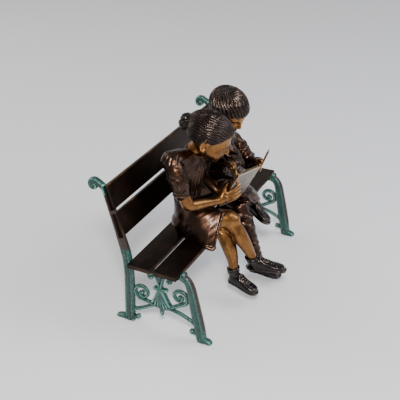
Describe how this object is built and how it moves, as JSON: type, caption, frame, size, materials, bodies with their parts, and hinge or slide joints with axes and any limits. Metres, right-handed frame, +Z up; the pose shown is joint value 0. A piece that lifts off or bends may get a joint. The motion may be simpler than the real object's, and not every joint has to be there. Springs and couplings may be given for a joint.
{
  "type": "bronze reading children statue",
  "caption": "Tabletop bronze of a girl and a boy sitting cross-legged on a garden bench with scrollwork ends, sharing a book.",
  "frame": {"origin": "centre of the whole group's bounding box, on the surface that the bench feet stand on", "axes": "+X along the bench towards the boy, -Y is where the children look, +Z up"},
  "size_m": [0.318, 0.2226, 0.2879],
  "materials": {
    "slat_bronze": "near-black brown bronze patina, worn golden at the edges",
    "verdigris_bronze": "blue-green verdigris patina over cast bronze, dark in the recesses",
    "figure_bronze": "glossy waxed brown patina on clothes and hair, skin rubbed golden",
    "book_bronze": "satin grey-brown rubbed bronze",
    "pencil_bronze": "brown bronze patina"
  },
  "bodies": {
    "root": {"back_slat_upper": "slat_bronze", "back_slat_lower": "slat_bronze", "seat_slat_rear": "slat_bronze", "seat_slat_front": "slat_bronze", "bench_end_right": "verdigris_bronze", "bench_end_left": "verdigris_bronze", "girl": "figure_bronze", "boy": "figure_bronze", "book": "book_bronze", "pencil": "pencil_bronze"}
  },
  "joints": []
}
